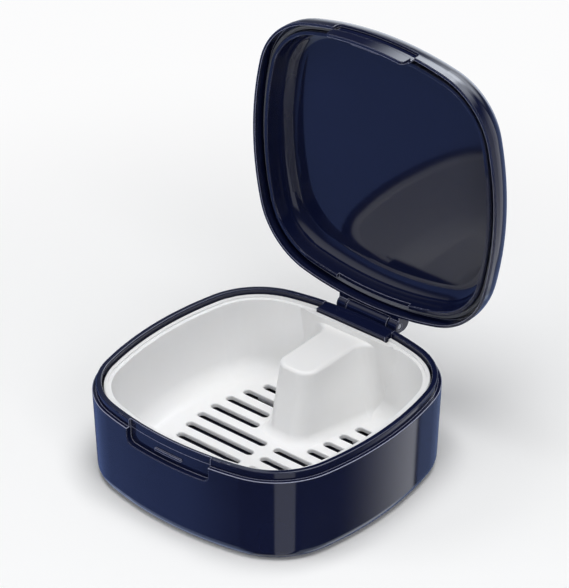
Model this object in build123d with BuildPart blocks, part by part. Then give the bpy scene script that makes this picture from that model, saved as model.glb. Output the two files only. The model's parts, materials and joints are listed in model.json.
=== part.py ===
"""Denture soaking case: a hinged box with a snap latch and a lift-out strainer basket.

Millimetres. The origin is the centre of the base's underside, +Z is up, the hinge is at +Y and
the latch is at -Y. The lid group is drawn closed and then turned up about the hinge pin.
"""

import os
from math import atan2, cos, hypot, radians, sin, sqrt, tan

from build123d import *

# ---- the case -------------------------------------------------------------------------------
half_width = 47.0
half_depth = 46.5
side_bow_radius = 108.0
corner_radius = 25.0
seam_height = 28.5
lid_height = 12.2
seam_gap = 0.12

# ---- base shell -----------------------------------------------------------------------------
base_wall = 3.0
base_floor = 2.0
base_draft = 2.0
foot_round = 3.5
base_inner_round = 2.5
lip_inset = 1.2
lip_height = 2.6
lip_edge_round = 0.4
ledge_edge_round = 0.25

# ---- lid shell ------------------------------------------------------------------------------
lid_edge_round = 10.2
lid_seam_round = 0.25
lid_top_thickness = 1.8
skirt_thickness = 0.9
rib_thickness = 1.4
rib_lift = 1.6
rib_edge_round = 0.35
lid_inner_round = 5.0
lip_clearance = 0.3
open_angle = 90.0

# ---- seal -----------------------------------------------------------------------------------
seal_width = 1.3
seal_height = 1.5
seal_lip_gap = 0.25
seal_side_gap = 0.05
seal_edge_round = 0.35

# ---- latch ----------------------------------------------------------------------------------
latch_width = 29.2
latch_drop = 4.6
latch_side_gap = 0.6
pocket_side_gap = 1.2
pocket_bottom_gap = 0.55
pocket_depth = 2.0
pocket_round = 2.2
tongue_setback = 0.15
tongue_thickness = 1.0
tongue_round = 1.6
thumb_edge_drop = 0.6
shelf_thickness = 1.0
web_thickness = 0.45
web_inset = 1.2
web_root_gap = 0.1
scoop_height = 2.9
scoop_round = 1.4
latch_edge_round = 0.25
pocket_edge_round = 0.25
scoop_edge_round = 0.3
catch_width = 10.0
catch_height = 0.8
catch_reach = 0.55
catch_drop = 2.3
nub_reach = 0.6
nub_gap = 0.3

# ---- hinge ----------------------------------------------------------------------------------
hinge_setback = 2.7
hinge_rise = 0.8
hinge_leaf_width = 23.6
hinge_ear_width = 3.5
hinge_side_gap = 0.35
knuckle_radius = 2.3
pin_radius = 1.0
pin_press_gap = 0.02
pin_running_gap = 0.06
pin_end_recess = 0.2
pin_chamfer = 0.2
stop_toe_depth = 1.6
stop_gap = 0.1
hood_gap = 0.6
hood_thickness = 1.4
hood_round = 3.0
block_width = 27.0
block_reach = 5.9
block_depth = 4.3
block_top_drop = 0.2
block_edge_round = 0.4
block_fit = 0.05
block_notch_gap = 0.6
block_rib_gap = 0.4
outer_skin = 1.9

# ---- strainer basket ------------------------------------------------------------------------
basket_gap = 0.5
basket_rim_drop = 1.4
basket_rim_width = 2.2
basket_rim_thickness = 1.6
basket_step_depth = 0.7
basket_step_width = 1.0
basket_rim_round = 0.35
basket_wall = 1.6
basket_floor = 1.5
basket_draft = 7.0
basket_floor_round = 8.0
backing_spread = 30.0
backing_reach = 5.1
backing_round = 8.0
basket_foot_height = 1.2
basket_foot_length = 8.0
basket_foot_width = 2.4
basket_foot_spread = 38.0
block_clearance = 0.4
tower_half_width = 6.7
tower_front = 11.0
tower_top = 28.0
tower_foot_half_width = 6.3
tower_foot_flare = 13.0
tower_foot_front = 6.4
tower_front_round = 5.0
tower_top_round = 1.2
tower_root_round = 5.0
tower_foot_round = 2.5
tower_foot_lap = 0.3
tower_foot_start = 0.15
tower_foot_steps = 5
tower_wall = 1.6
slot_rows = 8
slot_width = 2.8
slot_front_margin = 29.1
slot_back_margin = 20.5
slot_tower_gap = 2.6
middle_rib = 3.4
slot_edge_round = 0.4
grille_side_margin = 18.0
grille_end_margin = 9.5
grille_centre = 4.0

# ---- places that follow from the sizes above ------------------------------------------------
outside = -2.0
touch = 0.01
front_edge_reach = 0.8
grille_reach = 1.05
lip_top = seam_height + lip_height
channel_inset = base_wall + lip_clearance
rib_inset = channel_inset + rib_thickness
channel_top = lip_top + seal_lip_gap + seal_height
hinge_y = half_depth + hinge_setback
hinge_z = seam_height + hinge_rise
stop_height = hinge_setback - stop_gap
hood_bottom = hinge_z + stop_height + hood_gap
knuckle_half_width = hinge_leaf_width / 2 - hinge_ear_width - hinge_side_gap
block_inner_y = half_depth - lip_inset - block_reach
block_outer_y = half_depth - outer_skin
block_bottom = seam_height - block_depth
block_top = lip_top - block_top_drop
tongue_back = tongue_setback + tongue_thickness
tongue_low = seam_height - latch_drop
thumb_edge = seam_height - thumb_edge_drop
shelf_low = thumb_edge - shelf_thickness
web_back = web_inset + web_thickness
web_top = channel_top - web_root_gap
catch_low = seam_height - catch_drop - catch_height
catch_top = catch_low + catch_height
nub_top = catch_low - nub_gap
pocket_width = latch_width + 2 * pocket_side_gap
scoop_width = latch_width + 2 * latch_side_gap
basket_top = lip_top - basket_rim_drop
basket_under = base_floor + basket_foot_height
basket_floor_top = basket_under + basket_floor
basket_inset = base_wall + basket_gap
mouth_inset = basket_inset + basket_rim_width
basket_back = block_inner_y - block_clearance
notch_half_width = block_width / 2 + block_clearance
pocket_low = tongue_low - pocket_bottom_gap
seat_half = block_width / 2 + block_fit
tail_half = knuckle_half_width + block_fit
tail_y = hinge_y + knuckle_radius * sin(radians(45))
tail_z = hinge_z - knuckle_radius * cos(radians(45))
crown_room = block_width / 2 + block_notch_gap
crown_room_y = half_depth - channel_inset
crown_room_z = block_top + block_rib_gap
pin_half_length = hinge_leaf_width / 2 - pin_end_recess
ear_gap_half = knuckle_half_width + hinge_side_gap
hood_top = hood_bottom + hood_thickness
hood_root_y = half_depth - lid_edge_round / 2
wall_top = basket_top - basket_rim_thickness
wall_inset = mouth_inset - basket_wall + basket_rim_thickness * tan(radians(basket_draft))
inner_wall_y = basket_back - basket_wall
backing_half = notch_half_width + basket_wall
step_low = basket_top - basket_step_depth
grille_half_width = half_width - grille_side_margin
grille_half_depth = half_depth - grille_end_margin
slot_first_row = slot_front_margin - half_depth
slot_pitch = (half_depth - slot_back_margin - slot_first_row) / (slot_rows - 1)
tower_spread = (tower_foot_flare - tower_foot_half_width) / (basket_back - tower_foot_front)


def case_face(inset=0.0):
    """The case's outline as a face: four bowed sides and four round corners, moved in by inset."""
    bow_x = half_width - side_bow_radius
    bow_y = half_depth - side_bow_radius
    half_span = hypot(bow_x, bow_y) / 2
    reach = sqrt((side_bow_radius - corner_radius) ** 2 - half_span**2) / (2 * half_span)
    corner_x = bow_x / 2 - bow_y * reach
    corner_y = bow_y / 2 - bow_x * reach
    side_angle = atan2(corner_y, corner_x - bow_x)
    back_angle = atan2(corner_y - bow_y, corner_x)
    corner_angle = (side_angle + back_angle) / 2
    bow = side_bow_radius - inset
    corner = corner_radius - inset
    side_x, side_y = bow_x + bow * cos(side_angle), bow * sin(side_angle)
    back_x, back_y = bow * cos(back_angle), bow_y + bow * sin(back_angle)
    mid_x = corner_x + corner * cos(corner_angle)
    mid_y = corner_y + corner * sin(corner_angle)
    edge_x, edge_y = half_width - inset, half_depth - inset
    with BuildSketch() as outline:
        with BuildLine():
            ThreePointArc((side_x, -side_y), (edge_x, 0), (side_x, side_y))
            ThreePointArc((side_x, side_y), (mid_x, mid_y), (back_x, back_y))
            ThreePointArc((back_x, back_y), (0, edge_y), (-back_x, back_y))
            ThreePointArc((-back_x, back_y), (-mid_x, mid_y), (-side_x, side_y))
            ThreePointArc((-side_x, side_y), (-edge_x, 0), (-side_x, -side_y))
            ThreePointArc((-side_x, -side_y), (-mid_x, -mid_y), (-back_x, -back_y))
            ThreePointArc((-back_x, -back_y), (0, -edge_y), (back_x, -back_y))
            ThreePointArc((back_x, -back_y), (mid_x, -mid_y), (side_x, -side_y))
        make_face()
    return outline.sketch


def case_plate(inset, bottom, top):
    """A plate with the case's outline, moved in by inset, between two heights."""
    with BuildPart() as plate:
        with BuildSketch(Plane.XY.offset(bottom)):
            add(case_face(inset))
        extrude(amount=top - bottom)
    return plate.part


def case_ring(outer_inset, inner_inset, bottom, top):
    """An upright ring along the case's outline, between two insets and two heights."""
    with BuildPart() as ring:
        with BuildSketch(Plane.XY.offset(bottom)):
            add(case_face(outer_inset))
            add(case_face(inner_inset), mode=Mode.SUBTRACT)
        extrude(amount=top - bottom)
    return ring.part


def front_band(width, bottom, top, outer_inset, inner_inset, low_round=0.0, high_round=0.0):
    """A stretch of the front wall between two insets, seen from the front as a rounded rectangle."""
    with BuildPart() as band:
        with BuildSketch(Plane.XZ) as front:
            with Locations((0, (bottom + top) / 2)):
                Rectangle(width, top - bottom)
            if low_round:
                fillet(front.vertices().group_by(Axis.Y)[0], low_round)
            if high_round:
                fillet(front.vertices().group_by(Axis.Y)[-1], high_round)
        extrude(amount=2 * half_depth)
        add(case_ring(outer_inset, inner_inset, bottom, top), mode=Mode.INTERSECT)
    return band.part


def outer_edges(edges, half_x, bottom, top):
    """Those of the edges that lie on the front of the case, within half_x and between two heights."""

    def lies_there(edge):
        middle = edge.center()
        bow = middle.X**2 / (2 * side_bow_radius)
        outer = middle.Y - bow < -half_depth + front_edge_reach
        return outer and abs(middle.X) < half_x and bottom < middle.Z < top

    return edges.filter_by(lies_there)


def side_block(half_x, low, high):
    """A block across the middle plane, from one (y, z) corner to the other."""
    with BuildPart() as block:
        with Locations((0, (low[0] + high[0]) / 2, (low[1] + high[1]) / 2)):
            Box(2 * half_x, high[0] - low[0], high[1] - low[1])
    return block.part


# ---- base: drafted shell with a lip for the lid, a latch pocket and a seat for the hinge -----
with BuildPart() as base_cavity:
    with BuildSketch(Plane.XY.offset(seam_height)):
        add(case_face(base_wall))
    extrude(amount=base_floor - seam_height, taper=base_draft)
    fillet(base_cavity.edges().group_by(Axis.Z)[0], base_inner_round)

with BuildPart() as base_lip:
    add(case_ring(lip_inset, base_wall, seam_height, lip_top))
    fillet(base_lip.edges().group_by(Axis.Z)[-1], lip_edge_round)

with BuildPart() as base_shell:
    with BuildSketch(Plane.XY.offset(seam_height)):
        add(case_face())
    extrude(amount=-seam_height, taper=base_draft)
    fillet(base_shell.edges().group_by(Axis.Z)[0], foot_round)
    fillet(base_shell.edges().group_by(Axis.Z)[-1], ledge_edge_round)
    add(base_cavity.part, mode=Mode.SUBTRACT)
    add(base_lip.part)
    # latch pocket, with a small catch across its back
    add(
        front_band(pocket_width, pocket_low, lip_top, outside, pocket_depth, pocket_round),
        mode=Mode.SUBTRACT,
    )
    pocket_edges = outer_edges(
        base_shell.edges(), pocket_width / 2 + touch, pocket_low - touch, seam_height + touch
    )
    fillet(pocket_edges, pocket_edge_round)
    add(front_band(catch_width, catch_low, catch_top, pocket_depth - catch_reach, pocket_depth))
    # seat for the hinge block, and the slot that its knuckle's tail passes through
    add(side_block(seat_half, (0, block_bottom), (block_outer_y, lip_top)), mode=Mode.SUBTRACT)
    add(side_block(seat_half, (0, seam_height), (hinge_y, lip_top)), mode=Mode.SUBTRACT)
    add(side_block(tail_half, (0, block_bottom), (hinge_y, lip_top)), mode=Mode.SUBTRACT)

# ---- hinge block: let into the rim, with a knuckle outside the wall ---------------------------
with BuildPart() as block_crown:
    add(case_plate(lip_inset, seam_height, block_top))
    add(
        side_block(block_width / 2, (block_inner_y, seam_height), (half_depth, block_top)),
        mode=Mode.INTERSECT,
    )
    fillet(block_crown.edges().group_by(Axis.Z)[-1], block_edge_round)

with BuildPart() as hinge_block:
    add(side_block(block_width / 2, (block_inner_y, block_bottom), (block_outer_y, seam_height)))
    add(block_crown.part)
    with BuildSketch(Plane.YZ.offset(-knuckle_half_width)):
        with BuildLine():
            Polyline(
                (block_outer_y, block_bottom),
                (tail_y, tail_z),
                (hinge_y, seam_height),
                (block_outer_y, seam_height),
                close=True,
            )
        make_face()
        with Locations((hinge_y, hinge_z)):
            Circle(knuckle_radius)
            Rectangle(stop_toe_depth, stop_height, align=(Align.MIN, Align.MIN))
    extrude(amount=2 * knuckle_half_width)
    with BuildSketch(Plane.YZ.offset(-knuckle_half_width)):
        with Locations((hinge_y, hinge_z)):
            Circle(pin_radius + pin_press_gap)
    extrude(amount=2 * knuckle_half_width, mode=Mode.SUBTRACT)

# ---- hinge pin -------------------------------------------------------------------------------
with BuildPart() as hinge_pin:
    with BuildSketch(Plane.YZ.offset(-pin_half_length)):
        with Locations((hinge_y, hinge_z)):
            Circle(pin_radius)
    extrude(amount=2 * pin_half_length)
    chamfer(hinge_pin.edges().filter_by(GeomType.CIRCLE), pin_chamfer)

# ---- lid: shell, hinge hood, latch scoop ------------------------------------------------------
with BuildPart() as hinge_hood:
    hood_corner = (Align.MIN, Align.MAX)
    with BuildSketch(Plane.YZ.offset(-hinge_leaf_width / 2)) as hood_side:
        with Locations((hood_root_y, hood_top)):
            Rectangle(hinge_y + knuckle_radius - hood_root_y, hood_top - hinge_z, align=hood_corner)
            Rectangle(hinge_y - hood_root_y, hood_top - seam_height - seam_gap, align=hood_corner)
        fillet(hood_side.vertices().sort_by(Axis.X)[-2:].sort_by(Axis.Y)[-1], hood_round)
        with Locations((hinge_y, hinge_z)):
            Circle(knuckle_radius)
    extrude(amount=hinge_leaf_width)
    add(
        side_block(ear_gap_half, (half_depth, block_bottom), (hinge_y + hood_top, hood_bottom)),
        mode=Mode.SUBTRACT,
    )
    with BuildSketch(Plane.YZ.offset(-hinge_leaf_width / 2)):
        with Locations((hinge_y, hinge_z)):
            Circle(pin_radius + pin_running_gap)
    extrude(amount=hinge_leaf_width, mode=Mode.SUBTRACT)

with BuildPart() as lid_cavity:
    with BuildSketch(Plane.XY.offset(seam_height)):
        add(case_face(rib_inset))
    extrude(amount=lid_height - lid_top_thickness)
    fillet(lid_cavity.edges().group_by(Axis.Z)[-1], lid_inner_round)

with BuildPart() as lid_shell:
    with BuildSketch(Plane.XY.offset(seam_height + seam_gap)):
        add(case_face())
    extrude(amount=lid_height - seam_gap)
    fillet(lid_shell.edges().group_by(Axis.Z)[-1], lid_edge_round)
    fillet(lid_shell.edges().group_by(Axis.Z)[0], lid_seam_round)
    add(hinge_hood.part)
    # inside: everything within the skirt up to the rib, the channel for the lip, then the cavity
    add(case_plate(skirt_thickness, seam_height, seam_height + rib_lift), mode=Mode.SUBTRACT)
    add(case_ring(skirt_thickness, channel_inset, seam_height, channel_top), mode=Mode.SUBTRACT)
    add(lid_cavity.part, mode=Mode.SUBTRACT)
    rib_low = seam_height + rib_lift
    rib_edges = lid_shell.edges().filter_by(lambda edge: abs(edge.center().Z - rib_low) < touch)
    fillet(rib_edges, rib_edge_round)
    # room for the hinge block's crown in the rib
    add(
        side_block(crown_room, (0, seam_height), (crown_room_y, crown_room_z)),
        mode=Mode.SUBTRACT,
    )
    # scoop above the latch
    add(
        front_band(
            scoop_width,
            seam_height,
            seam_height + scoop_height,
            outside,
            skirt_thickness,
            high_round=scoop_round,
        ),
        mode=Mode.SUBTRACT,
    )
    scoop_top = seam_height + scoop_height
    scoop_edges = outer_edges(
        lid_shell.edges(), scoop_width / 2 + touch, seam_height + touch, scoop_top + touch
    )
    fillet(scoop_edges, scoop_edge_round)

# ---- seal ring, in the roof of the lid's channel -----------------------------------------------
with BuildPart() as seal_ring:
    add(
        case_ring(
            channel_inset - seal_side_gap - seal_width,
            channel_inset - seal_side_gap,
            channel_top - seal_height,
            channel_top,
        )
    )
    fillet(seal_ring.edges().group_by(Axis.Z)[0], seal_edge_round)

# ---- latch tongue: outer plate, thumb shelf, thin springy web and a snap nub --------------------
with BuildPart() as latch_tongue:
    add(
        front_band(
            latch_width, tongue_low, thumb_edge, tongue_setback, tongue_back, low_round=tongue_round
        )
    )
    add(front_band(latch_width, shelf_low, thumb_edge, tongue_setback, web_back))
    add(front_band(latch_width, shelf_low, web_top, web_inset, web_back))
    nub_low = nub_top - catch_height
    add(front_band(catch_width, nub_low, nub_top, tongue_back, tongue_back + nub_reach))
    fillet(latch_tongue.faces().sort_by(Axis.Y)[0].edges(), latch_edge_round)

# ---- strainer basket ---------------------------------------------------------------------------
with BuildPart() as basket_body:
    with BuildSketch(Plane.XY.offset(wall_top)):
        add(case_face(wall_inset))
    extrude(amount=basket_under - wall_top, taper=basket_draft)
    fillet(basket_body.edges().group_by(Axis.Z)[0], basket_floor_round)
    with BuildSketch(Plane.XY.offset(wall_top)):
        add(case_face(basket_inset))
    extrude(amount=basket_rim_thickness)
    fillet(basket_body.edges().group_by(Axis.Z)[-1], basket_rim_round)
    # flat back that clears the hinge block as the basket is lifted out
    add(
        side_block(notch_half_width, (basket_back, 0), (half_depth, basket_top)),
        mode=Mode.SUBTRACT,
    )

with BuildPart() as basket_hollow:
    with BuildSketch(Plane.XY.offset(basket_top)):
        add(case_face(mouth_inset))
    extrude(amount=basket_floor_top - basket_top, taper=basket_draft)
    fillet(basket_hollow.edges().group_by(Axis.Z)[0], basket_floor_round - basket_wall)
    # the wall is carried round the flat back
    with BuildSketch() as backing:
        with BuildLine():
            Polyline(
                (-backing_spread, half_depth),
                (-backing_spread, inner_wall_y + backing_reach),
                (-backing_half, inner_wall_y),
                (backing_half, inner_wall_y),
                (backing_spread, inner_wall_y + backing_reach),
                (backing_spread, half_depth),
                close=True,
            )
        make_face()
        fillet(backing.vertices().group_by(Axis.Y)[0], backing_round)
    extrude(amount=basket_top, mode=Mode.SUBTRACT)


def tower_sizes(height, spread=0.0):
    """The tower's half width at its front and at its back, and its front, at a height."""
    share = (height - basket_under) / (tower_top - basket_under)
    half = tower_foot_half_width + share * (tower_half_width - tower_foot_half_width)
    flare = tower_foot_flare + share * (tower_half_width - tower_foot_flare)
    front = tower_foot_front + share * (tower_front - tower_foot_front)
    return half + spread, flare + spread, front - spread


def foot_spread(rise):
    """How far the rounded foot of the tower stands out at a height above the basket's floor."""
    if rise >= tower_foot_start:
        return tower_foot_round - sqrt(tower_foot_round**2 - (tower_foot_round - rise) ** 2)
    level = tower_foot_round - tower_foot_start
    slope = level / sqrt(tower_foot_round**2 - level**2)
    return foot_spread(tower_foot_start) + slope * (tower_foot_start - rise)


def tower_face(height, spread=0.0):
    """A level section of the divider tower: round towards the latch, run out into the back wall."""
    half, flare, front = tower_sizes(height, spread)
    root_y = inner_wall_y - tower_root_round
    root_x = flare + tower_root_round
    arc_x = root_x - tower_root_round * cos(radians(45))
    arc_y = root_y + tower_root_round * sin(radians(45))
    with BuildSketch(Plane.XY.offset(height)) as section:
        with BuildLine():
            Polyline((-flare, root_y), (-half, front), (half, front), (flare, root_y))
            ThreePointArc((flare, root_y), (arc_x, arc_y), (root_x, inner_wall_y))
            Line((root_x, inner_wall_y), (root_x, basket_back))
            Line((root_x, basket_back), (-root_x, basket_back))
            Line((-root_x, basket_back), (-root_x, inner_wall_y))
            ThreePointArc((-root_x, inner_wall_y), (-arc_x, arc_y), (-flare, root_y))
        make_face()
        fillet(section.vertices().group_by(Axis.Y)[0], tower_front_round + spread)
    return section.sketch


def tower_core_face(height):
    """A level section of the tower's hollow, which is open underneath."""
    half, flare, front = tower_sizes(height, -tower_wall)
    with BuildSketch(Plane.XY.offset(height)) as section:
        with BuildLine():
            Polyline((-flare, inner_wall_y), (-half, front), (half, front))
            Line((half, front), (flare, inner_wall_y))
            Line((flare, inner_wall_y), (-flare, inner_wall_y))
        make_face()
        fillet(section.vertices().group_by(Axis.Y)[0], tower_front_round - tower_wall)
    return section.sketch


with BuildPart() as tower_foot:
    add(tower_face(basket_floor_top - tower_foot_lap, foot_spread(-tower_foot_lap)))
    for step in range(tower_foot_steps + 1):
        share = (step / tower_foot_steps) ** 2
        rise = tower_foot_start + share * (tower_foot_round - tower_foot_start)
        add(tower_face(basket_floor_top + rise, foot_spread(rise)))
    loft()

with BuildPart() as tower:
    add(tower_face(basket_floor_top + tower_foot_round))
    add(tower_face(tower_top))
    loft()
    top_line = tower.edges().group_by(Axis.Z)[-1]
    fillet(top_line.filter_by(lambda edge: edge.center().Y < inner_wall_y), tower_top_round)

with BuildPart() as tower_core:
    add(tower_core_face(basket_under))
    add(tower_core_face(tower_top - tower_wall))
    loft()

def is_slot_edge(edge):
    """Whether an edge is one of those round the tops of the drain slots."""
    middle = edge.center()
    level = abs(middle.Z - basket_floor_top) < touch
    across = middle.X / grille_half_width
    along = (middle.Y - grille_centre) / grille_half_depth
    within = hypot(across, along) < grille_reach
    return level and within and edge.geom_type in (GeomType.LINE, GeomType.CIRCLE)


with BuildPart() as strainer_basket:
    add(basket_body.part)
    add(basket_hollow.part, mode=Mode.SUBTRACT)
    add(tower_foot.part)
    add(tower.part)
    add(tower_core.part, mode=Mode.SUBTRACT)
    # a small step round the inside of the rim
    step_ring = case_ring(
        mouth_inset - basket_step_width,
        mouth_inset + basket_step_width,
        step_low,
        basket_top,
    )
    add(step_ring, mode=Mode.SUBTRACT)
    # drain slots, in rows either side of a rib down the middle
    with BuildSketch(Plane.XY.offset(basket_under)):
        for row in range(slot_rows):
            y = slot_first_row + row * slot_pitch
            reach = grille_half_width * sqrt(1 - ((y - grille_centre) / grille_half_depth) ** 2)
            # rows beside the tower stop short of its foot, which widens towards the back
            beside = y + slot_width / 2 + slot_tower_gap - tower_foot_front
            start = middle_rib / 2
            if beside > 0:
                start = tower_foot_half_width + tower_spread * beside + slot_tower_gap
            with Locations((-(start + reach) / 2, y), ((start + reach) / 2, y)):
                SlotOverall(reach - start, slot_width)
    extrude(amount=basket_floor, mode=Mode.SUBTRACT)
    fillet(strainer_basket.edges().filter_by(is_slot_edge), slot_edge_round)
    # feet under the ribs of the grille, first and last rows
    with BuildSketch(Plane.XY.offset(base_floor)):
        for rib in (0, slot_rows - 2):
            y = slot_first_row + (rib + 0.5) * slot_pitch
            with Locations((-basket_foot_spread / 2, y), (basket_foot_spread / 2, y)):
                SlotOverall(basket_foot_length, basket_foot_width)
    extrude(amount=basket_foot_height)

pieces = {
    "base_shell": base_shell,
    "hinge_block": hinge_block,
    "hinge_pin": hinge_pin,
    "lid_shell": lid_shell,
    "seal_ring": seal_ring,
    "latch_tongue": latch_tongue,
    "strainer_basket": strainer_basket,
}

os.makedirs("parts", exist_ok=True)
hinge_line = Axis((0, hinge_y, hinge_z), (-1, 0, 0))
for name, piece in pieces.items():
    solid = piece.part
    if name in ("lid_shell", "seal_ring", "latch_tongue"):
        solid = solid.rotate(hinge_line, open_angle)
    solid.label = name
    export_step(solid, f"parts/{name}.step")
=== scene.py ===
"""Denture soaking case: its finishes, its lip seal, and a plain stage to show it on.

Run as a script. Four operators finish the pieces and make the seal, and a fifth sets the stage.
"""

import json
import math

import bmesh
import bpy
from bpy.props import FloatProperty, FloatVectorProperty, PointerProperty
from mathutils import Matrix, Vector


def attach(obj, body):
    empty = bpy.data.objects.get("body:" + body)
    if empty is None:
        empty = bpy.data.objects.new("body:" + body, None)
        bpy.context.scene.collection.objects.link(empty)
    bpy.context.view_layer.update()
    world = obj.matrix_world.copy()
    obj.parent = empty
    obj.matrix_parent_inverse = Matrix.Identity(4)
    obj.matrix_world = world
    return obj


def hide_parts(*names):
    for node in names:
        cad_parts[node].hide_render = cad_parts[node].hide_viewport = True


bl_info = {
    "name": "Denture Case",
    "version": (1, 0, 0),
    "blender": (4, 5, 0),
    "location": "3D View > Sidebar > Denture Case",
    "description": "Finishes, lip seal and stage for a hinged soaking case with a strainer basket",
    "category": "Object",
}

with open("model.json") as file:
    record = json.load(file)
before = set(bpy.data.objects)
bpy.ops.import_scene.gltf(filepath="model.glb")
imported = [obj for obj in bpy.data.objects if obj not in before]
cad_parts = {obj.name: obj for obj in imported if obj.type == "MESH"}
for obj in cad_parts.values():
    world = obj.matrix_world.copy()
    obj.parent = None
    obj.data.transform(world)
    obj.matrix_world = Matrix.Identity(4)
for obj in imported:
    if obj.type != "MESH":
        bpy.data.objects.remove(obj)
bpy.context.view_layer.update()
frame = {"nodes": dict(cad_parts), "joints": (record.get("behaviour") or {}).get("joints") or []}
NODES = frame["nodes"]

# pieces in plain navy plastic; the base is in it too, with a pale line painted as a highlight along
# the edge of its ledge
NAVY_NODES = ("hinge_block", "lid_shell", "latch_tongue")
# height of the ledge that the lid closes on, in metres
SEAM_LEVEL = 0.0285


# ---- shader maths --------------------------------------------------------------------------


# how far the normal of a rounded edge leans from the face's, as cosines: where the edge starts to
# show and where it shows in full
EDGE_FACING = (0.99, 0.9)
EDGE_SAMPLES = 6


class Term:
    """A shader socket that takes part in sums: each sum adds its Math node to the tree."""

    def __init__(self, tree, socket):
        self.tree = tree
        self.socket = socket

    def maths(self, operation, *terms):
        """Adds a Math node that works on the given terms."""
        node = self.tree.nodes.new("ShaderNodeMath")
        node.operation = operation
        for slot, term in zip(node.inputs, terms):
            plug(self.tree, slot, term)
        return Term(self.tree, node.outputs[0])

    def __add__(self, other):
        return self.maths("ADD", self, other)

    def __sub__(self, other):
        return self.maths("SUBTRACT", self, other)

    def __mul__(self, other):
        return self.maths("MULTIPLY", self, other)

    def __rsub__(self, other):
        return self.maths("SUBTRACT", other, self)

    __radd__ = __add__
    __rmul__ = __mul__


def plug(tree, slot, value):
    """Links a term to a socket, or sets the socket to a plain value; None leaves it as it is."""
    if isinstance(value, Term):
        tree.links.new(value.socket, slot)
    elif value is not None:
        slot.default_value = value


class Tree:
    """A node tree, with one way to add any node."""

    family = "ShaderNode"

    def __init__(self, tree):
        self.tree = tree
        self.tree.nodes.clear()

    def node(self, kind, settings=None, output=0, **sockets):
        """Adds a node: its settings first, then its sockets, by name or by number as _0, _1.

        Returns one of its outputs, by name or by number, or None where it has none.
        """
        made = self.tree.nodes.new(kind if kind.startswith("Shader") else self.family + kind)
        for name, value in (settings or {}).items():
            setattr(made, name, value)
        for name, value in sockets.items():
            key = int(name[1:]) if name.startswith("_") else name.replace("_", " ")
            plug(self.tree, made.inputs[key], value)
        return Term(self.tree, made.outputs[output]) if made.outputs else None

    def here(self):
        """The object's own coordinates, in metres."""
        return self.node("TexCoord", output="Object")

    def axes(self):
        """The object's own coordinates as three terms: x, y and z."""
        split = self.node("SeparateXYZ", Vector=self.here())
        return [Term(self.tree, axis) for axis in split.socket.node.outputs]

    def noise(self, waves=1.0, detail=2.0, scale=(1.0, 1.0, 1.0), turn=(0.0, 0.0, 0.0)):
        """Smooth noise from 0 to 1, in waves per metre times the scale of each axis."""
        place = self.node("Mapping", Vector=self.here(), Scale=scale, Rotation=turn)
        return self.node("TexNoise", Vector=place, Scale=waves, Detail=detail)

    def step(self, value, none_at, full_at, full=1.0):
        """A smooth step of a value, from 0 at one level of it to full at another."""
        return self.node(
            "MapRange",
            {"interpolation_type": "SMOOTHSTEP"},
            Value=value,
            From_Min=none_at,
            From_Max=full_at,
            To_Max=full,
        )

    def window(self, value, first, last):
        """1 between two limits of a value and 0 outside them; each comes with its soft edge."""
        (start, rise), (stop, fall) = first, last
        return self.step(value, start, start + rise) * self.step(value, stop, stop - fall)

    def blend(self, factor, first, second):
        """Mixes two colours. The sockets of a Mix node share their names, so they go by number."""
        return self.node("Mix", {"data_type": "RGBA"}, output=2, _0=factor, _6=first, _7=second)

    def edges(self, reach, strength):
        """A strength along the edges, out to a reach in metres, and 0 on the faces."""
        facing = self.node(
            "VectorMath",
            {"operation": "DOT_PRODUCT"},
            output="Value",
            _0=self.node("Bevel", {"samples": EDGE_SAMPLES}, Radius=reach),
            _1=self.node("NewGeometry", output="Normal"),
        )
        return self.step(facing, *EDGE_FACING, full=strength)

    def bump(self, height, depth):
        """A normal from a height of 0 to 1 that stands for a depth in metres."""
        return self.node("Bump", Height=height, Distance=depth, Strength=1.0)


class Finish(Tree):
    """A material and its node tree."""

    def __init__(self, name):
        self.material = bpy.data.materials.new(name)
        self.material.use_nodes = True
        super().__init__(self.material.node_tree)

    def show(self, **sockets):
        """Ends the tree in a Principled shader."""
        shader = self.node("BsdfPrincipled", **sockets)
        self.node("OutputMaterial", Surface=shader)
        return self.material


def shade(linear):
    """A colour with full opacity."""
    return (*linear, 1.0)


# ---- finishes ------------------------------------------------------------------------------


# navy plastic: its darker flow streaks and its pale painted highlight, as shares of its colour and
# a white
STREAK_SHARE = 0.82
HIGHLIGHT_SHARE = 4.0
HIGHLIGHT_WHITE = 0.34
# how strong the painted highlight along its edges is, how far in from them, and how strong the
# painted highlight line under the ledge is
NAVY_EDGE_HIGHLIGHT = 0.85
NAVY_EDGE_REACH = 0.0004
LEDGE_HIGHLIGHT_STRENGTH = 0.8
# depths under the ledge's level, in metres, of the painted highlight line: it fades in between the
# first two and out between the last two
LEDGE_HIGHLIGHT_DEPTHS = (0.00018, 0.0001, 0.00001, 0.000002)
DUST_SPECKS_PER_METRE = 420.0
DUST_COLOUR = (0.22, 0.23, 0.25, 1.0)
DUST_COVER = 0.1
# what haze, hairlines and dust add to its roughness
HAZE_ROUGHNESS = 0.03
HAIRLINE_ROUGHNESS = 0.04
DUST_ROUGHNESS = 0.3
ORANGE_PEEL_DEPTH = 0.0000025


def hairlines(finish, scale, turn, none_at, full_at):
    """Long thin lines, where a noise that is drawn out one way comes near its top."""
    return finish.step(finish.noise(detail=0.0, scale=scale, turn=turn), none_at, full_at)


def ledge_highlight_line(finish, level):
    """Painted highlight: a pale line just under a level, in metres, along the edge that the lid
    closes on.
    """
    height = finish.axes()[2]
    bottom, full_bottom, full_top, top = (level - depth for depth in LEDGE_HIGHLIGHT_DEPTHS)
    line = finish.step(height, bottom, full_bottom, full=LEDGE_HIGHLIGHT_STRENGTH)
    return line * finish.step(height, top, full_top)


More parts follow.
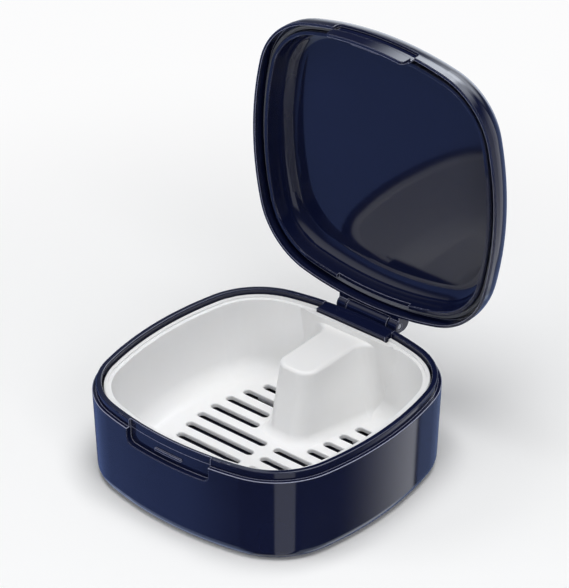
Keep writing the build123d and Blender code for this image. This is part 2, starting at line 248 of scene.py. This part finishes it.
def navy_plastic(name, colour, gloss, ledge_highlight=None):
    """Polished moulded plastic: deep colour, mirror gloss, faint haze, hairlines and dust.

    Its edges are painted pale as a highlight, and so is the line just under a highlight level,
    given in metres.
    """
    finish = Finish(name)
    haze = finish.step(finish.noise(waves=22.0, detail=4.0), none_at=0.45, full_at=0.75)
    flow = finish.step(finish.noise(waves=9.0, scale=(1.0, 1.0, 2.5)), none_at=0.35, full_at=0.65)
    lines = hairlines(
        finish, scale=(1500, 45, 260), turn=(0.2, 0.5, 0.9), none_at=0.76, full_at=0.84
    )
    lines += hairlines(
        finish, scale=(40, 1400, 300), turn=(0.6, 0.1, 0.4), none_at=0.77, full_at=0.85
    )
    specks = finish.node("TexVoronoi", Vector=finish.here(), Scale=DUST_SPECKS_PER_METRE)
    dust = finish.step(specks, none_at=0.05, full_at=0.02)
    dust *= finish.step(finish.noise(waves=130.0), none_at=0.55, full_at=0.65)
    # painted highlight: the edges, and the line under the ledge, are made pale as if they caught
    # the light
    painted_highlight = finish.edges(NAVY_EDGE_REACH, NAVY_EDGE_HIGHLIGHT)
    if ledge_highlight is not None:
        painted_highlight = painted_highlight.maths("MAXIMUM", painted_highlight, ledge_highlight_line(finish, ledge_highlight))
    streak = shade([c * STREAK_SHARE for c in colour])
    pale = shade([c * HIGHLIGHT_SHARE + HIGHLIGHT_WHITE for c in colour])
    body = finish.blend(flow, streak, shade(colour))
    body = finish.blend(painted_highlight, body, pale)
    body = finish.blend(dust * DUST_COVER, body, DUST_COLOUR)
    rough = gloss + haze * HAZE_ROUGHNESS + lines * HAIRLINE_ROUGHNESS + dust * DUST_ROUGHNESS
    normal = finish.bump(finish.noise(waves=190.0, detail=1.0), ORANGE_PEEL_DEPTH)
    return finish.show(Base_Color=body, Roughness=rough, Normal=normal, IOR=1.52)


# white plastic: the tint of its clouds, how strong the painted highlight along its edges is, how
# far in and to what colour
CLOUD_TINT = (0.985, 0.985, 0.975)
WHITE_EDGE_HIGHLIGHT = 0.3
WHITE_EDGE_REACH = 0.0003
WHITE_HIGHLIGHT_COLOUR = (0.93, 0.93, 0.94, 1.0)
# its least roughness, and what clouds and grain each add to it
WHITE_ROUGHNESS = 0.3
GRAIN_ROUGHNESS = 0.06
GRAIN_DEPTH = 0.000006


def white_plastic(name, colour):
    """Milky moulded plastic: satin, faintly clouded, finely grained, and light passes into it."""
    finish = Finish(name)
    cloud = finish.noise(waves=30.0, detail=3.0)
    grain = finish.noise(waves=2600.0)
    warm = shade([c * tint for c, tint in zip(colour, CLOUD_TINT)])
    body = finish.blend(finish.step(cloud, none_at=0.35, full_at=0.7), shade(colour), warm)
    # painted highlight: the edges are made paler, as if they caught the light
    body = finish.blend(finish.edges(WHITE_EDGE_REACH, WHITE_EDGE_HIGHLIGHT), body, WHITE_HIGHLIGHT_COLOUR)
    uneven = finish.step(cloud, none_at=0.3, full_at=0.8) + grain
    rough = WHITE_ROUGHNESS + uneven * GRAIN_ROUGHNESS
    return finish.show(
        Base_Color=body,
        Roughness=rough,
        Normal=finish.bump(grain, GRAIN_DEPTH),
        IOR=1.5,
        Subsurface_Weight=0.35,
        Subsurface_Radius=(1.0, 0.95, 0.9),
        Subsurface_Scale=0.0022,
    )


# silicone: its bloom, as a share of its colour and a white, and how much of that shows
BLOOM_SHARE = 1.5
BLOOM_WHITE = 0.02
BLOOM_COVER = 0.5
# its least roughness, and what the bloom adds to it
SILICONE_ROUGHNESS = 0.42
BLOOM_ROUGHNESS = 0.16
SKIN_DEPTH = 0.000008


def silicone(name, colour):
    """Soft silicone: dull sheen, a dusty bloom and a fine moulded skin."""
    finish = Finish(name)
    bloom = finish.noise(waves=70.0, detail=4.0)
    pale = shade([min(1.0, c * BLOOM_SHARE + BLOOM_WHITE) for c in colour])
    cover = finish.step(bloom, none_at=0.4, full_at=0.75, full=BLOOM_COVER)
    body = finish.blend(cover, shade(colour), pale)
    rough = SILICONE_ROUGHNESS + bloom * BLOOM_ROUGHNESS
    normal = finish.bump(finish.noise(waves=3200.0), SKIN_DEPTH)
    return finish.show(Base_Color=body, Roughness=rough, Normal=normal, IOR=1.41)


# steel: waves per metre of its rings, along the pin and across it, and the colour of its stain as
# a share of the steel's
RING_WAVES = (9000, 300, 300)
STAIN_SHARE = 0.7
# its least roughness, and what rings and stain add to it
STEEL_ROUGHNESS = 0.2
RING_ROUGHNESS = 0.2
STAIN_ROUGHNESS = 0.15
RING_DEPTH = 0.000006


def drawn_steel(name, colour):
    """Drawn steel wire: bright, with fine rings round it and a darker stain in places."""
    finish = Finish(name)
    rings = finish.noise(detail=3.0, scale=RING_WAVES)
    stain = finish.noise(waves=260.0, detail=3.0)
    dark = shade([c * STAIN_SHARE for c in colour])
    body = finish.blend(finish.step(stain, none_at=0.45, full_at=0.8), shade(colour), dark)
    dull = finish.step(stain, none_at=0.5, full_at=0.8, full=STAIN_ROUGHNESS)
    rough = STEEL_ROUGHNESS + rings * RING_ROUGHNESS + dull
    normal = finish.bump(rings, RING_DEPTH)
    return finish.show(Base_Color=body, Metallic=1.0, Roughness=rough, Normal=normal)


def dress(node, material):
    """Gives a CAD node one material all over."""
    node.data.materials.clear()
    node.data.materials.append(material)
    for face in node.data.polygons:
        face.material_index = 0


# ---- the seal's shape ----------------------------------------------------------------------

# the case's outline is four bowed sides joined by round corners, in metres
HALF_WIDTH = 0.047
HALF_DEPTH = 0.0465
BOW_RADIUS = 0.108
CORNER_RADIUS = 0.025
BOW_STEPS = 18
CORNER_STEPS = 24
# the strip's corners and the ribs' circles
FILLET_STEPS = 4
RIB_SIDES = 10
# from the shut lid's place to the open lid's: a quarter turn back about the hinge's axis, which is
# the same turn about X and then a shift
_, HINGE_Y, HINGE_Z = next(
    joint["pos_m"] for joint in frame["joints"] if joint["name"] == "lid_hinge"
)
OPEN_TURN = (math.radians(-90.0), 0.0, 0.0)
OPEN_SHIFT = (0.0, HINGE_Y - HINGE_Z, HINGE_Y + HINGE_Z)


def arc(centre, radius, start, stop, steps):
    """Points along an arc from one angle to another, without the last."""
    turns = [start + (stop - start) * step / steps for step in range(steps)]
    return [(centre[0] + radius * math.cos(t), centre[1] + radius * math.sin(t)) for t in turns]


def lid_outline(inset):
    """Points round the shut lid's outline, moved in by an inset."""
    bow_x = HALF_WIDTH - BOW_RADIUS
    bow_y = HALF_DEPTH - BOW_RADIUS
    half_span = math.hypot(bow_x, bow_y) / 2
    reach = math.sqrt((BOW_RADIUS - CORNER_RADIUS) ** 2 - half_span**2) / (2 * half_span)
    corner = (bow_x / 2 - bow_y * reach, bow_y / 2 - bow_x * reach)
    side = math.atan2(corner[1], corner[0] - bow_x)
    back = math.atan2(corner[1] - bow_y, corner[0])
    quarter = arc((bow_x, 0.0), BOW_RADIUS - inset, 0.0, side, BOW_STEPS)
    quarter += arc(corner, CORNER_RADIUS - inset, side, back, CORNER_STEPS)
    quarter += arc((0.0, bow_y), BOW_RADIUS - inset, back, math.pi / 2, BOW_STEPS)
    quarter.append((0.0, HALF_DEPTH - inset))
    half = quarter[:-1] + [(-x, y) for x, y in reversed(quarter)]
    return half[:-1] + [(-x, -y) for x, y in half[:-1]]


class Shaping(Tree):
    """A Geometry Nodes tree with named lengths as its inputs."""

    family = "GeometryNode"

    def __init__(self, name):
        super().__init__(bpy.data.node_groups.new(name, "GeometryNodeTree"))
        for way in ("INPUT", "OUTPUT"):
            self.tree.interface.new_socket("Geometry", in_out=way, socket_type="NodeSocketGeometry")
        self.values = {}

    def length(self, name, value):
        """Adds a named length to the inputs."""
        made = self.tree.interface.new_socket(name, in_out="INPUT", socket_type="NodeSocketFloat")
        made.subtype = "DISTANCE"
        self.values[made.identifier] = value

    def entry(self, name):
        """One of the inputs."""
        return Term(self.tree, self.tree.nodes.new("NodeGroupInput").outputs[name])

    def finish(self, geometry, material):
        """Ends the tree: instances made real, one material."""
        real = self.node("RealizeInstances", Geometry=geometry)
        dressed = self.node("SetMaterial", Geometry=real, Material=material)
        plug(self.tree, self.tree.nodes.new("NodeGroupOutput").inputs[0], dressed)

    def mesh(self, source):
        """The plain mesh that the tree makes of an object."""
        modifier = source.modifiers.new(self.tree.name, "NODES")
        modifier.node_group = self.tree
        for identifier, value in self.values.items():
            modifier[identifier] = value
        depsgraph = bpy.context.evaluated_depsgraph_get()
        made = bpy.data.meshes.new_from_object(source.evaluated_get(depsgraph))
        source.modifiers.remove(modifier)
        return made


def seal_shape(seal, material):
    """The seal's tree: a rounded strip swept along a path, with two ribs on the side it seals."""
    shape = Shaping("lip_seal")
    shape.length("Width", seal.width)
    shape.length("Height", seal.height)
    shape.length("Edge round", seal.edge_round)
    shape.length("Rib radius", seal.rib_radius)
    shape.length("Rib spacing", seal.rib_spacing)
    path = shape.entry("Geometry")
    height = shape.entry("Height")
    rib = shape.entry("Rib radius")
    strip = shape.node(
        "CurvePrimitiveQuadrilateral", Width=shape.entry("Width"), Height=height - rib
    )
    strip = shape.node(
        "FilletCurve",
        {"mode": "POLY"},
        Curve=strip,
        Count=FILLET_STEPS,
        Radius=shape.entry("Edge round"),
    )
    # the strip is raised by half a rib, so that the ribs and the strip fill the height together
    raised = shape.node("ShaderNodeCombineXYZ", Z=rib * 0.5)
    middle = shape.node("SetPosition", Geometry=path, Offset=raised)
    parts = [shape.node("CurveToMesh", Curve=middle, Profile_Curve=strip)]
    bead = shape.node("CurvePrimitiveCircle", {"mode": "RADIUS"}, Resolution=RIB_SIDES, Radius=rib)
    across = shape.node("InputNormal")
    for side in (-0.5, 0.5):
        aside = shape.node(
            "ShaderNodeVectorMath",
            {"operation": "SCALE"},
            _0=across,
            Scale=shape.entry("Rib spacing") * side,
        )
        down = shape.node("ShaderNodeCombineXYZ", Z=rib - height * 0.5)
        place = shape.node("ShaderNodeVectorMath", {"operation": "ADD"}, _0=aside, _1=down)
        line = shape.node("SetPosition", Geometry=path, Offset=place)
        parts.append(shape.node("CurveToMesh", Curve=line, Profile_Curve=bead))
    whole = shape.tree.nodes.new("GeometryNodeJoinGeometry")
    for part in parts:
        plug(shape.tree, whole.inputs[0], part)
    opened = shape.node(
        "Transform",
        Geometry=Term(shape.tree, whole.outputs[0]),
        Translation=OPEN_SHIFT,
        Rotation=OPEN_TURN,
    )
    shape.finish(shape.node("SetShadeSmooth", Geometry=opened), material)
    return shape


# ---- settings ------------------------------------------------------------------------------


class DentureCaseColours(bpy.types.PropertyGroup):
    """Colours of the mouldings, the seal and the pin."""

    navy: FloatVectorProperty(
        name="Case",
        description="Colour of the base, lid, hinge block and latch",
        subtype="COLOR",
        size=3,
        min=0.0,
        max=1.0,
        default=(0.0060, 0.0090, 0.0360),
    )
    white: FloatVectorProperty(
        name="Basket",
        description="Colour of the strainer basket",
        subtype="COLOR",
        size=3,
        min=0.0,
        max=1.0,
        default=(0.86, 0.86, 0.865),
    )
    seal: FloatVectorProperty(
        name="Seal",
        description="Colour of the silicone lip seal",
        subtype="COLOR",
        size=3,
        min=0.0,
        max=1.0,
        default=(0.19, 0.20, 0.23),
    )
    steel: FloatVectorProperty(
        name="Pin",
        description="Colour of the hinge pin",
        subtype="COLOR",
        size=3,
        min=0.0,
        max=1.0,
        default=(0.56, 0.57, 0.59),
    )
    gloss: FloatProperty(
        name="Case roughness",
        description="Least roughness of the polished case",
        subtype="FACTOR",
        min=0.0,
        max=1.0,
        default=0.07,
    )


class DentureCaseSeal(bpy.types.PropertyGroup):
    """Section of the silicone seal in the lid's channel."""

    inset: FloatProperty(
        name="Inset",
        description="From the lid's outline to the middle of the seal",
        subtype="DISTANCE",
        unit="LENGTH",
        default=0.0026,
    )
    level: FloatProperty(
        name="Level",
        description="Height of the middle of the seal when the lid is shut",
        subtype="DISTANCE",
        unit="LENGTH",
        default=0.0321,
    )
    width: FloatProperty(
        name="Width",
        description="Width of the strip",
        subtype="DISTANCE",
        unit="LENGTH",
        default=0.00128,
    )
    height: FloatProperty(
        name="Height",
        description="Height of the strip with its ribs",
        subtype="DISTANCE",
        unit="LENGTH",
        default=0.0015,
    )
    edge_round: FloatProperty(
        name="Edge round",
        description="Radius of the strip's edges",
        subtype="DISTANCE",
        unit="LENGTH",
        default=0.00025,
    )
    rib_radius: FloatProperty(
        name="Rib radius",
        description="Radius of the two ribs that press on the lip",
        subtype="DISTANCE",
        unit="LENGTH",
        default=0.00024,
    )
    rib_spacing: FloatProperty(
        name="Rib spacing",
        description="Distance between the two ribs",
        subtype="DISTANCE",
        unit="LENGTH",
        default=0.00066,
    )


class DentureCaseStage(bpy.types.PropertyGroup):
    """Camera, lamps and floor."""

    azimuth: FloatProperty(
        name="Azimuth",
        description="How far round to the right of the latch the camera stands",
        subtype="ANGLE",
        default=math.radians(40.1),
    )
    elevation: FloatProperty(
        name="Elevation",
        description="How far above the horizon the camera stands",
        subtype="ANGLE",
        default=math.radians(31.7),
    )
    distance: FloatProperty(
        name="Distance",
        description="From the camera to the point it looks at",
        subtype="DISTANCE",
        unit="LENGTH",
        default=0.97,
    )
    lens: FloatProperty(
        name="Lens",
        description="Focal length of the camera, in millimetres",
        subtype="DISTANCE_CAMERA",
        default=200.0,
    )
    aim: FloatVectorProperty(
        name="Aim",
        description="The point that the camera looks at",
        subtype="TRANSLATION",
        unit="LENGTH",
        size=3,
        default=(0.0, 0.008, 0.056),
    )
    floor_radius: FloatProperty(
        name="Floor",
        description="Radius of the floor",
        subtype="DISTANCE",
        unit="LENGTH",
        default=4.0,
    )


# ---- pieces --------------------------------------------------------------------------------


def add_object(name, data):
    """A new object in the scene."""
    made = bpy.data.objects.new(name, data)
    bpy.context.scene.collection.objects.link(made)
    return made


class DENTURE_OT_case(bpy.types.Operator):
    """Finish the base, the lid, the hinge block and the latch in polished navy plastic"""

    bl_idname = "denture_case.case"
    bl_label = "Case mouldings"

    def execute(self, context):
        colours = context.scene.denture_case_colours
        navy = tuple(colours.navy)
        polished = navy_plastic("polished_navy_plastic", navy, colours.gloss)
        for name in NAVY_NODES:
            dress(NODES[name], polished)
        # painted highlight: the base's material carries a pale line under the edge of its ledge
        ledge_highlight = navy_plastic("rubbed_navy_plastic", navy, colours.gloss, ledge_highlight=SEAM_LEVEL)
        dress(NODES["base_shell"], ledge_highlight)
        return {"FINISHED"}


class DENTURE_OT_basket(bpy.types.Operator):
    """Finish the strainer basket in milky white plastic"""

    bl_idname = "denture_case.basket"
    bl_label = "Strainer basket"

    def execute(self, context):
        colours = context.scene.denture_case_colours
        milky = white_plastic("milky_white_plastic", tuple(colours.white))
        dress(NODES["strainer_basket"], milky)
        return {"FINISHED"}


class DENTURE_OT_seal(bpy.types.Operator):
    """Make the silicone seal that runs round the lid's channel"""

    bl_idname = "denture_case.seal"
    bl_label = "Lip seal"

    def execute(self, context):
        colours = context.scene.denture_case_colours
        seal = context.scene.denture_case_seal
        points = lid_outline(seal.inset)
        line = bpy.data.curves.new("seal_path", "CURVE")
        line.dimensions = "3D"
        line.twist_mode = "Z_UP"
        spline = line.splines.new("POLY")
        spline.points.add(len(points) - 1)
        for point, (x, y) in zip(spline.points, points):
            point.co = (x, y, seal.level, 1.0)
        spline.use_cyclic_u = True
        path = add_object("seal_path", line)
        shape = seal_shape(seal, silicone("soft_silicone", tuple(colours.seal)))
        piece = add_object("lip_seal", shape.mesh(path))
        bpy.data.objects.remove(path)
        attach(piece, "lid")
        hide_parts("seal_ring")
        return {"FINISHED"}


class DENTURE_OT_pin(bpy.types.Operator):
    """Finish the hinge pin in drawn steel"""

    bl_idname = "denture_case.pin"
    bl_label = "Hinge pin"

    def execute(self, context):
        colours = context.scene.denture_case_colours
        dress(NODES["hinge_pin"], drawn_steel("drawn_steel", tuple(colours.steel)))
        return {"FINISHED"}


# ---- stage ---------------------------------------------------------------------------------

BACKDROP_COLOUR = (0.97, 0.97, 0.975, 1.0)
SKY_COLOUR = (0.95, 0.97, 1.0, 1.0)
SKY_STRENGTH = 0.13
FLOOR_COLOUR = (0.94, 0.943, 0.946, 1.0)
FLOOR_SIDES = 96
# how far from the case's middle the floor starts to fade and is gone, in metres
FLOOR_FADE = (0.1, 0.26)
# name, place, size across and up, power in watts; each looks at the point the camera looks at
LAMPS = (
    ("overhead_softbox", (0.1, -0.05, 1.25), (0.8, 0.8), 11.7),
    ("right_softbox", (1.0, -0.55, 0.75), (0.7, 0.7), 4.4),
    ("left_softbox", (-0.8, -0.95, 0.75), (0.6, 0.7), 4.0),
)
TENT_SEGMENTS = 64
TENT_RINGS = 32
TENT_DARK = (0.045, 0.0465, 0.05)
# the elevations, in degrees, between which the tent grows paler overhead, and by how much
OVERHEAD_RISE = (25.0, 75.0)
OVERHEAD_BRIGHTNESS = 0.5
# panels of the tent: first and last azimuth, lowest and highest elevation, each in degrees with the
# width of its soft edge, then brightness and tint. Azimuth is 0 at the latch and 90 on the right,
# and a panel that crosses the back starts below -180.
PANELS = (
    # the left side, and low on the left
    ((-140, 40), (-8, 30), (-75, 4), (30, 12), 0.5, (0.25, 0.40, 1.0)),
    ((-150, 40), (-4, 20), (-75, 4), (-39, 3), 0.5, (0.8, 0.9, 1.0)),
    # a stripe to the front right
    ((36, 3), (67, 2), (-75, 4), (20, 8), 0.85, (0.9, 0.92, 1.0)),
    # back right, and low on the right
    ((118, 40), (160, 2), (-75, 4), (30, 25), 1.15, (0.9, 0.92, 1.0)),
    ((74, 4), (175, 10), (-75, 4), (-39, 3), 0.8, (0.8, 0.9, 1.0)),
    # back left
    ((-200, 2), (-125, 50), (-75, 4), (10, 20), 0.4, (0.35, 0.5, 1.0)),
    # overhead on all sides but the back
    ((-150, 50), (170, 50), (34, 14), (100, 10), 0.45, (0.95, 0.97, 1.0)),
    # high at the back: left of the middle, further left, right, and lower down
    ((-188, 14), (-132, 30), (29, 12), (86, 14), 7.5, (0.88, 0.93, 1.0)),
    ((-160, 20), (-98, 40), (30, 14), (75, 20), 0.45, (0.5, 0.7, 1.0)),
    ((-238, 44), (-168, 20), (30, 16), (82, 14), 3.6, (0.88, 0.93, 1.0)),
    ((-200, 16), (-152, 14), (8, 20), (46, 16), 3.0, (0.88, 0.93, 1.0)),
    # level with the case at the back left
    ((-176, 10), (-132, 12), (-22, 14), (22, 14), 1.3, (0.88, 0.93, 1.0)),
    # straight below
    ((-200, 1), (200, 1), (-100, 5), (-73, 5), 0.6, (0.97, 0.98, 1.0)),
)


def backdrop_factor(finish):
    """1 where the stage is seen, straight, mirrored or through a piece; 0 where it gives light."""
    camera = finish.node("LightPath", output="Is Camera Ray")
    glossy = finish.node("LightPath", output="Is Glossy Ray")
    clear = finish.node("LightPath", output="Is Transmission Ray")
    return camera.maths("MAXIMUM", camera, glossy.maths("MAXIMUM", glossy, clear))


class DENTURE_OT_stage(bpy.types.Operator):
    """Set the floor, the soft lamps, the pale surroundings and the camera"""

    bl_idname = "denture_case.stage"
    bl_label = "Stage"

    def execute(self, context):
        stage = context.scene.denture_case_stage
        self.floor(stage)
        self.tent(stage)
        self.surroundings(context.scene)
        for name, place, size, power in LAMPS:
            self.lamp(name, Vector(place), size, power, stage)
        self.camera(context.scene, stage)
        return {"FINISHED"}

    def floor(self, stage):
        """A round floor that fades into the backdrop away from the case."""
        rim = arc((0.0, 0.0), stage.floor_radius, 0.0, 2 * math.pi, FLOOR_SIDES)
        mesh = bpy.data.meshes.new("floor")
        mesh.from_pydata([(x, y, 0.0) for x, y in rim], [], [list(range(FLOOR_SIDES))])
        floor = add_object("floor", mesh)
        finish = Finish("studio_floor")
        far = finish.node("VectorMath", {"operation": "LENGTH"}, output="Value", _0=finish.here())
        fade = finish.step(far, *FLOOR_FADE) * backdrop_factor(finish)
        surface = finish.node("BsdfDiffuse", Color=FLOOR_COLOUR)
        glow = finish.node("Emission", Color=BACKDROP_COLOUR, Strength=1.0)
        mixed = finish.node("MixShader", _0=fade, _1=surface, _2=glow)
        finish.node("OutputMaterial", Surface=mixed)
        finish.material.cycles.emission_sampling = "NONE"
        mesh.materials.append(finish.material)
        floor.visible_glossy = False

    def tent(self, stage):
        """A studio tent that only mirror images see: dark flags with pale panels between them."""
        shape = bmesh.new()
        bmesh.ops.create_uvsphere(
            shape, u_segments=TENT_SEGMENTS, v_segments=TENT_RINGS, radius=stage.floor_radius / 2
        )
        mesh = bpy.data.meshes.new("tent")
        shape.to_mesh(mesh)
        shape.free()
        tent = add_object("tent", mesh)
        finish = Finish("studio_tent")
        x, y, z = finish.axes()
        away = x.maths("SQRT", x * x + y * y)
        azimuth = x.maths("ARCTAN2", x, 0.0 - y) * math.degrees(1.0)
        elevation = z.maths("ARCTAN2", z, away) * math.degrees(1.0)
        overhead = finish.step(elevation, *OVERHEAD_RISE, full=OVERHEAD_BRIGHTNESS)
        panels = [(overhead, (1.0, 1.0, 1.0))]
        for (start, rise), (stop, fall), low, high, brightness, tint in PANELS:
            upright = finish.window(elevation, low, high)
            for turn in (0.0, 360.0):
                across = finish.window(azimuth, (start + turn, rise), (stop + turn, fall))
                panels.append((across * upright * brightness, tint))
        light = TENT_DARK
        for strength, tint in panels:
            panel = finish.node("VectorMath", {"operation": "SCALE"}, _0=tint, Scale=strength)
            light = finish.node("VectorMath", {"operation": "ADD"}, _0=light, _1=panel)
        glow = finish.node("Emission", Color=light, Strength=1.0)
        finish.node("OutputMaterial", Surface=glow)
        finish.material.cycles.emission_sampling = "NONE"
        mesh.materials.append(finish.material)
        tent.visible_camera = tent.visible_diffuse = False
        tent.visible_shadow = tent.visible_transmission = False

    def surroundings(self, scene):
        """An even pale world: the backdrop to the view, and a weak light on the case."""
        world = bpy.data.worlds.new("studio")
        world.use_nodes = True
        finish = Tree(world.node_tree)
        factor = backdrop_factor(finish)
        seen = finish.node("Background", Color=BACKDROP_COLOUR, Strength=1.0)
        light = finish.node("Background", Color=SKY_COLOUR, Strength=SKY_STRENGTH)
        finish.node("OutputWorld", Surface=finish.node("MixShader", _0=factor, _1=light, _2=seen))
        scene.world = world

    def lamp(self, name, place, size, power, stage):
        """A soft rectangular lamp that looks at the point the camera looks at."""
        light = bpy.data.lights.new(name, "AREA")
        light.shape = "RECTANGLE"
        light.size, light.size_y = size
        light.energy = power
        lamp = add_object(name, light)
        lamp.location = place
        lamp.rotation_euler = (Vector(stage.aim) - place).to_track_quat("-Z", "Y").to_euler()
        lamp.visible_camera = lamp.visible_glossy = False

    def camera(self, scene, stage):
        """The camera, at its azimuth, elevation and distance from the point it looks at."""
        level = math.cos(stage.elevation)
        back = Vector(
            (
                math.sin(stage.azimuth) * level,
                -math.cos(stage.azimuth) * level,
                math.sin(stage.elevation),
            )
        )
        data = bpy.data.cameras.new("camera")
        data.lens = stage.lens
        camera = add_object("camera", data)
        camera.location = Vector(stage.aim) + back * stage.distance
        camera.rotation_euler = (-back).to_track_quat("-Z", "Y").to_euler()
        scene.camera = camera
        scene.view_settings.view_transform = "Standard"


class DENTURE_PT_panel(bpy.types.Panel):
    """The case's pieces and their settings, in the sidebar"""

    bl_idname = "DENTURE_PT_panel"
    bl_label = "Denture Case"
    bl_space_type = "VIEW_3D"
    bl_region_type = "UI"
    bl_category = "Denture Case"

    def draw(self, context):
        for operator in OPERATORS:
            self.layout.operator(operator.bl_idname)
        for settings in GROUPS:
            group = getattr(context.scene, settings)
            box = self.layout.box()
            for name in group.bl_rna.properties.keys():
                if name not in ("rna_type", "name"):
                    box.prop(group, name)


OPERATORS = (
    DENTURE_OT_case,
    DENTURE_OT_basket,
    DENTURE_OT_seal,
    DENTURE_OT_pin,
    DENTURE_OT_stage,
)
GROUPS = {
    "denture_case_colours": DentureCaseColours,
    "denture_case_seal": DentureCaseSeal,
    "denture_case_stage": DentureCaseStage,
}


def register():
    for name, group in GROUPS.items():
        bpy.utils.register_class(group)
        setattr(bpy.types.Scene, name, PointerProperty(type=group))
    for operator in OPERATORS:
        bpy.utils.register_class(operator)
    bpy.utils.register_class(DENTURE_PT_panel)


def unregister():
    bpy.utils.unregister_class(DENTURE_PT_panel)
    for operator in reversed(OPERATORS):
        bpy.utils.unregister_class(operator)
    for name, group in GROUPS.items():
        delattr(bpy.types.Scene, name)
        bpy.utils.unregister_class(group)


def main():
    register()
    for operator in OPERATORS:
        group, name = operator.bl_idname.split(".")
        if getattr(getattr(bpy.ops, group), name)() != {"FINISHED"}:
            raise RuntimeError(operator.bl_label + " was not made")


if __name__ == "__main__":
    main()
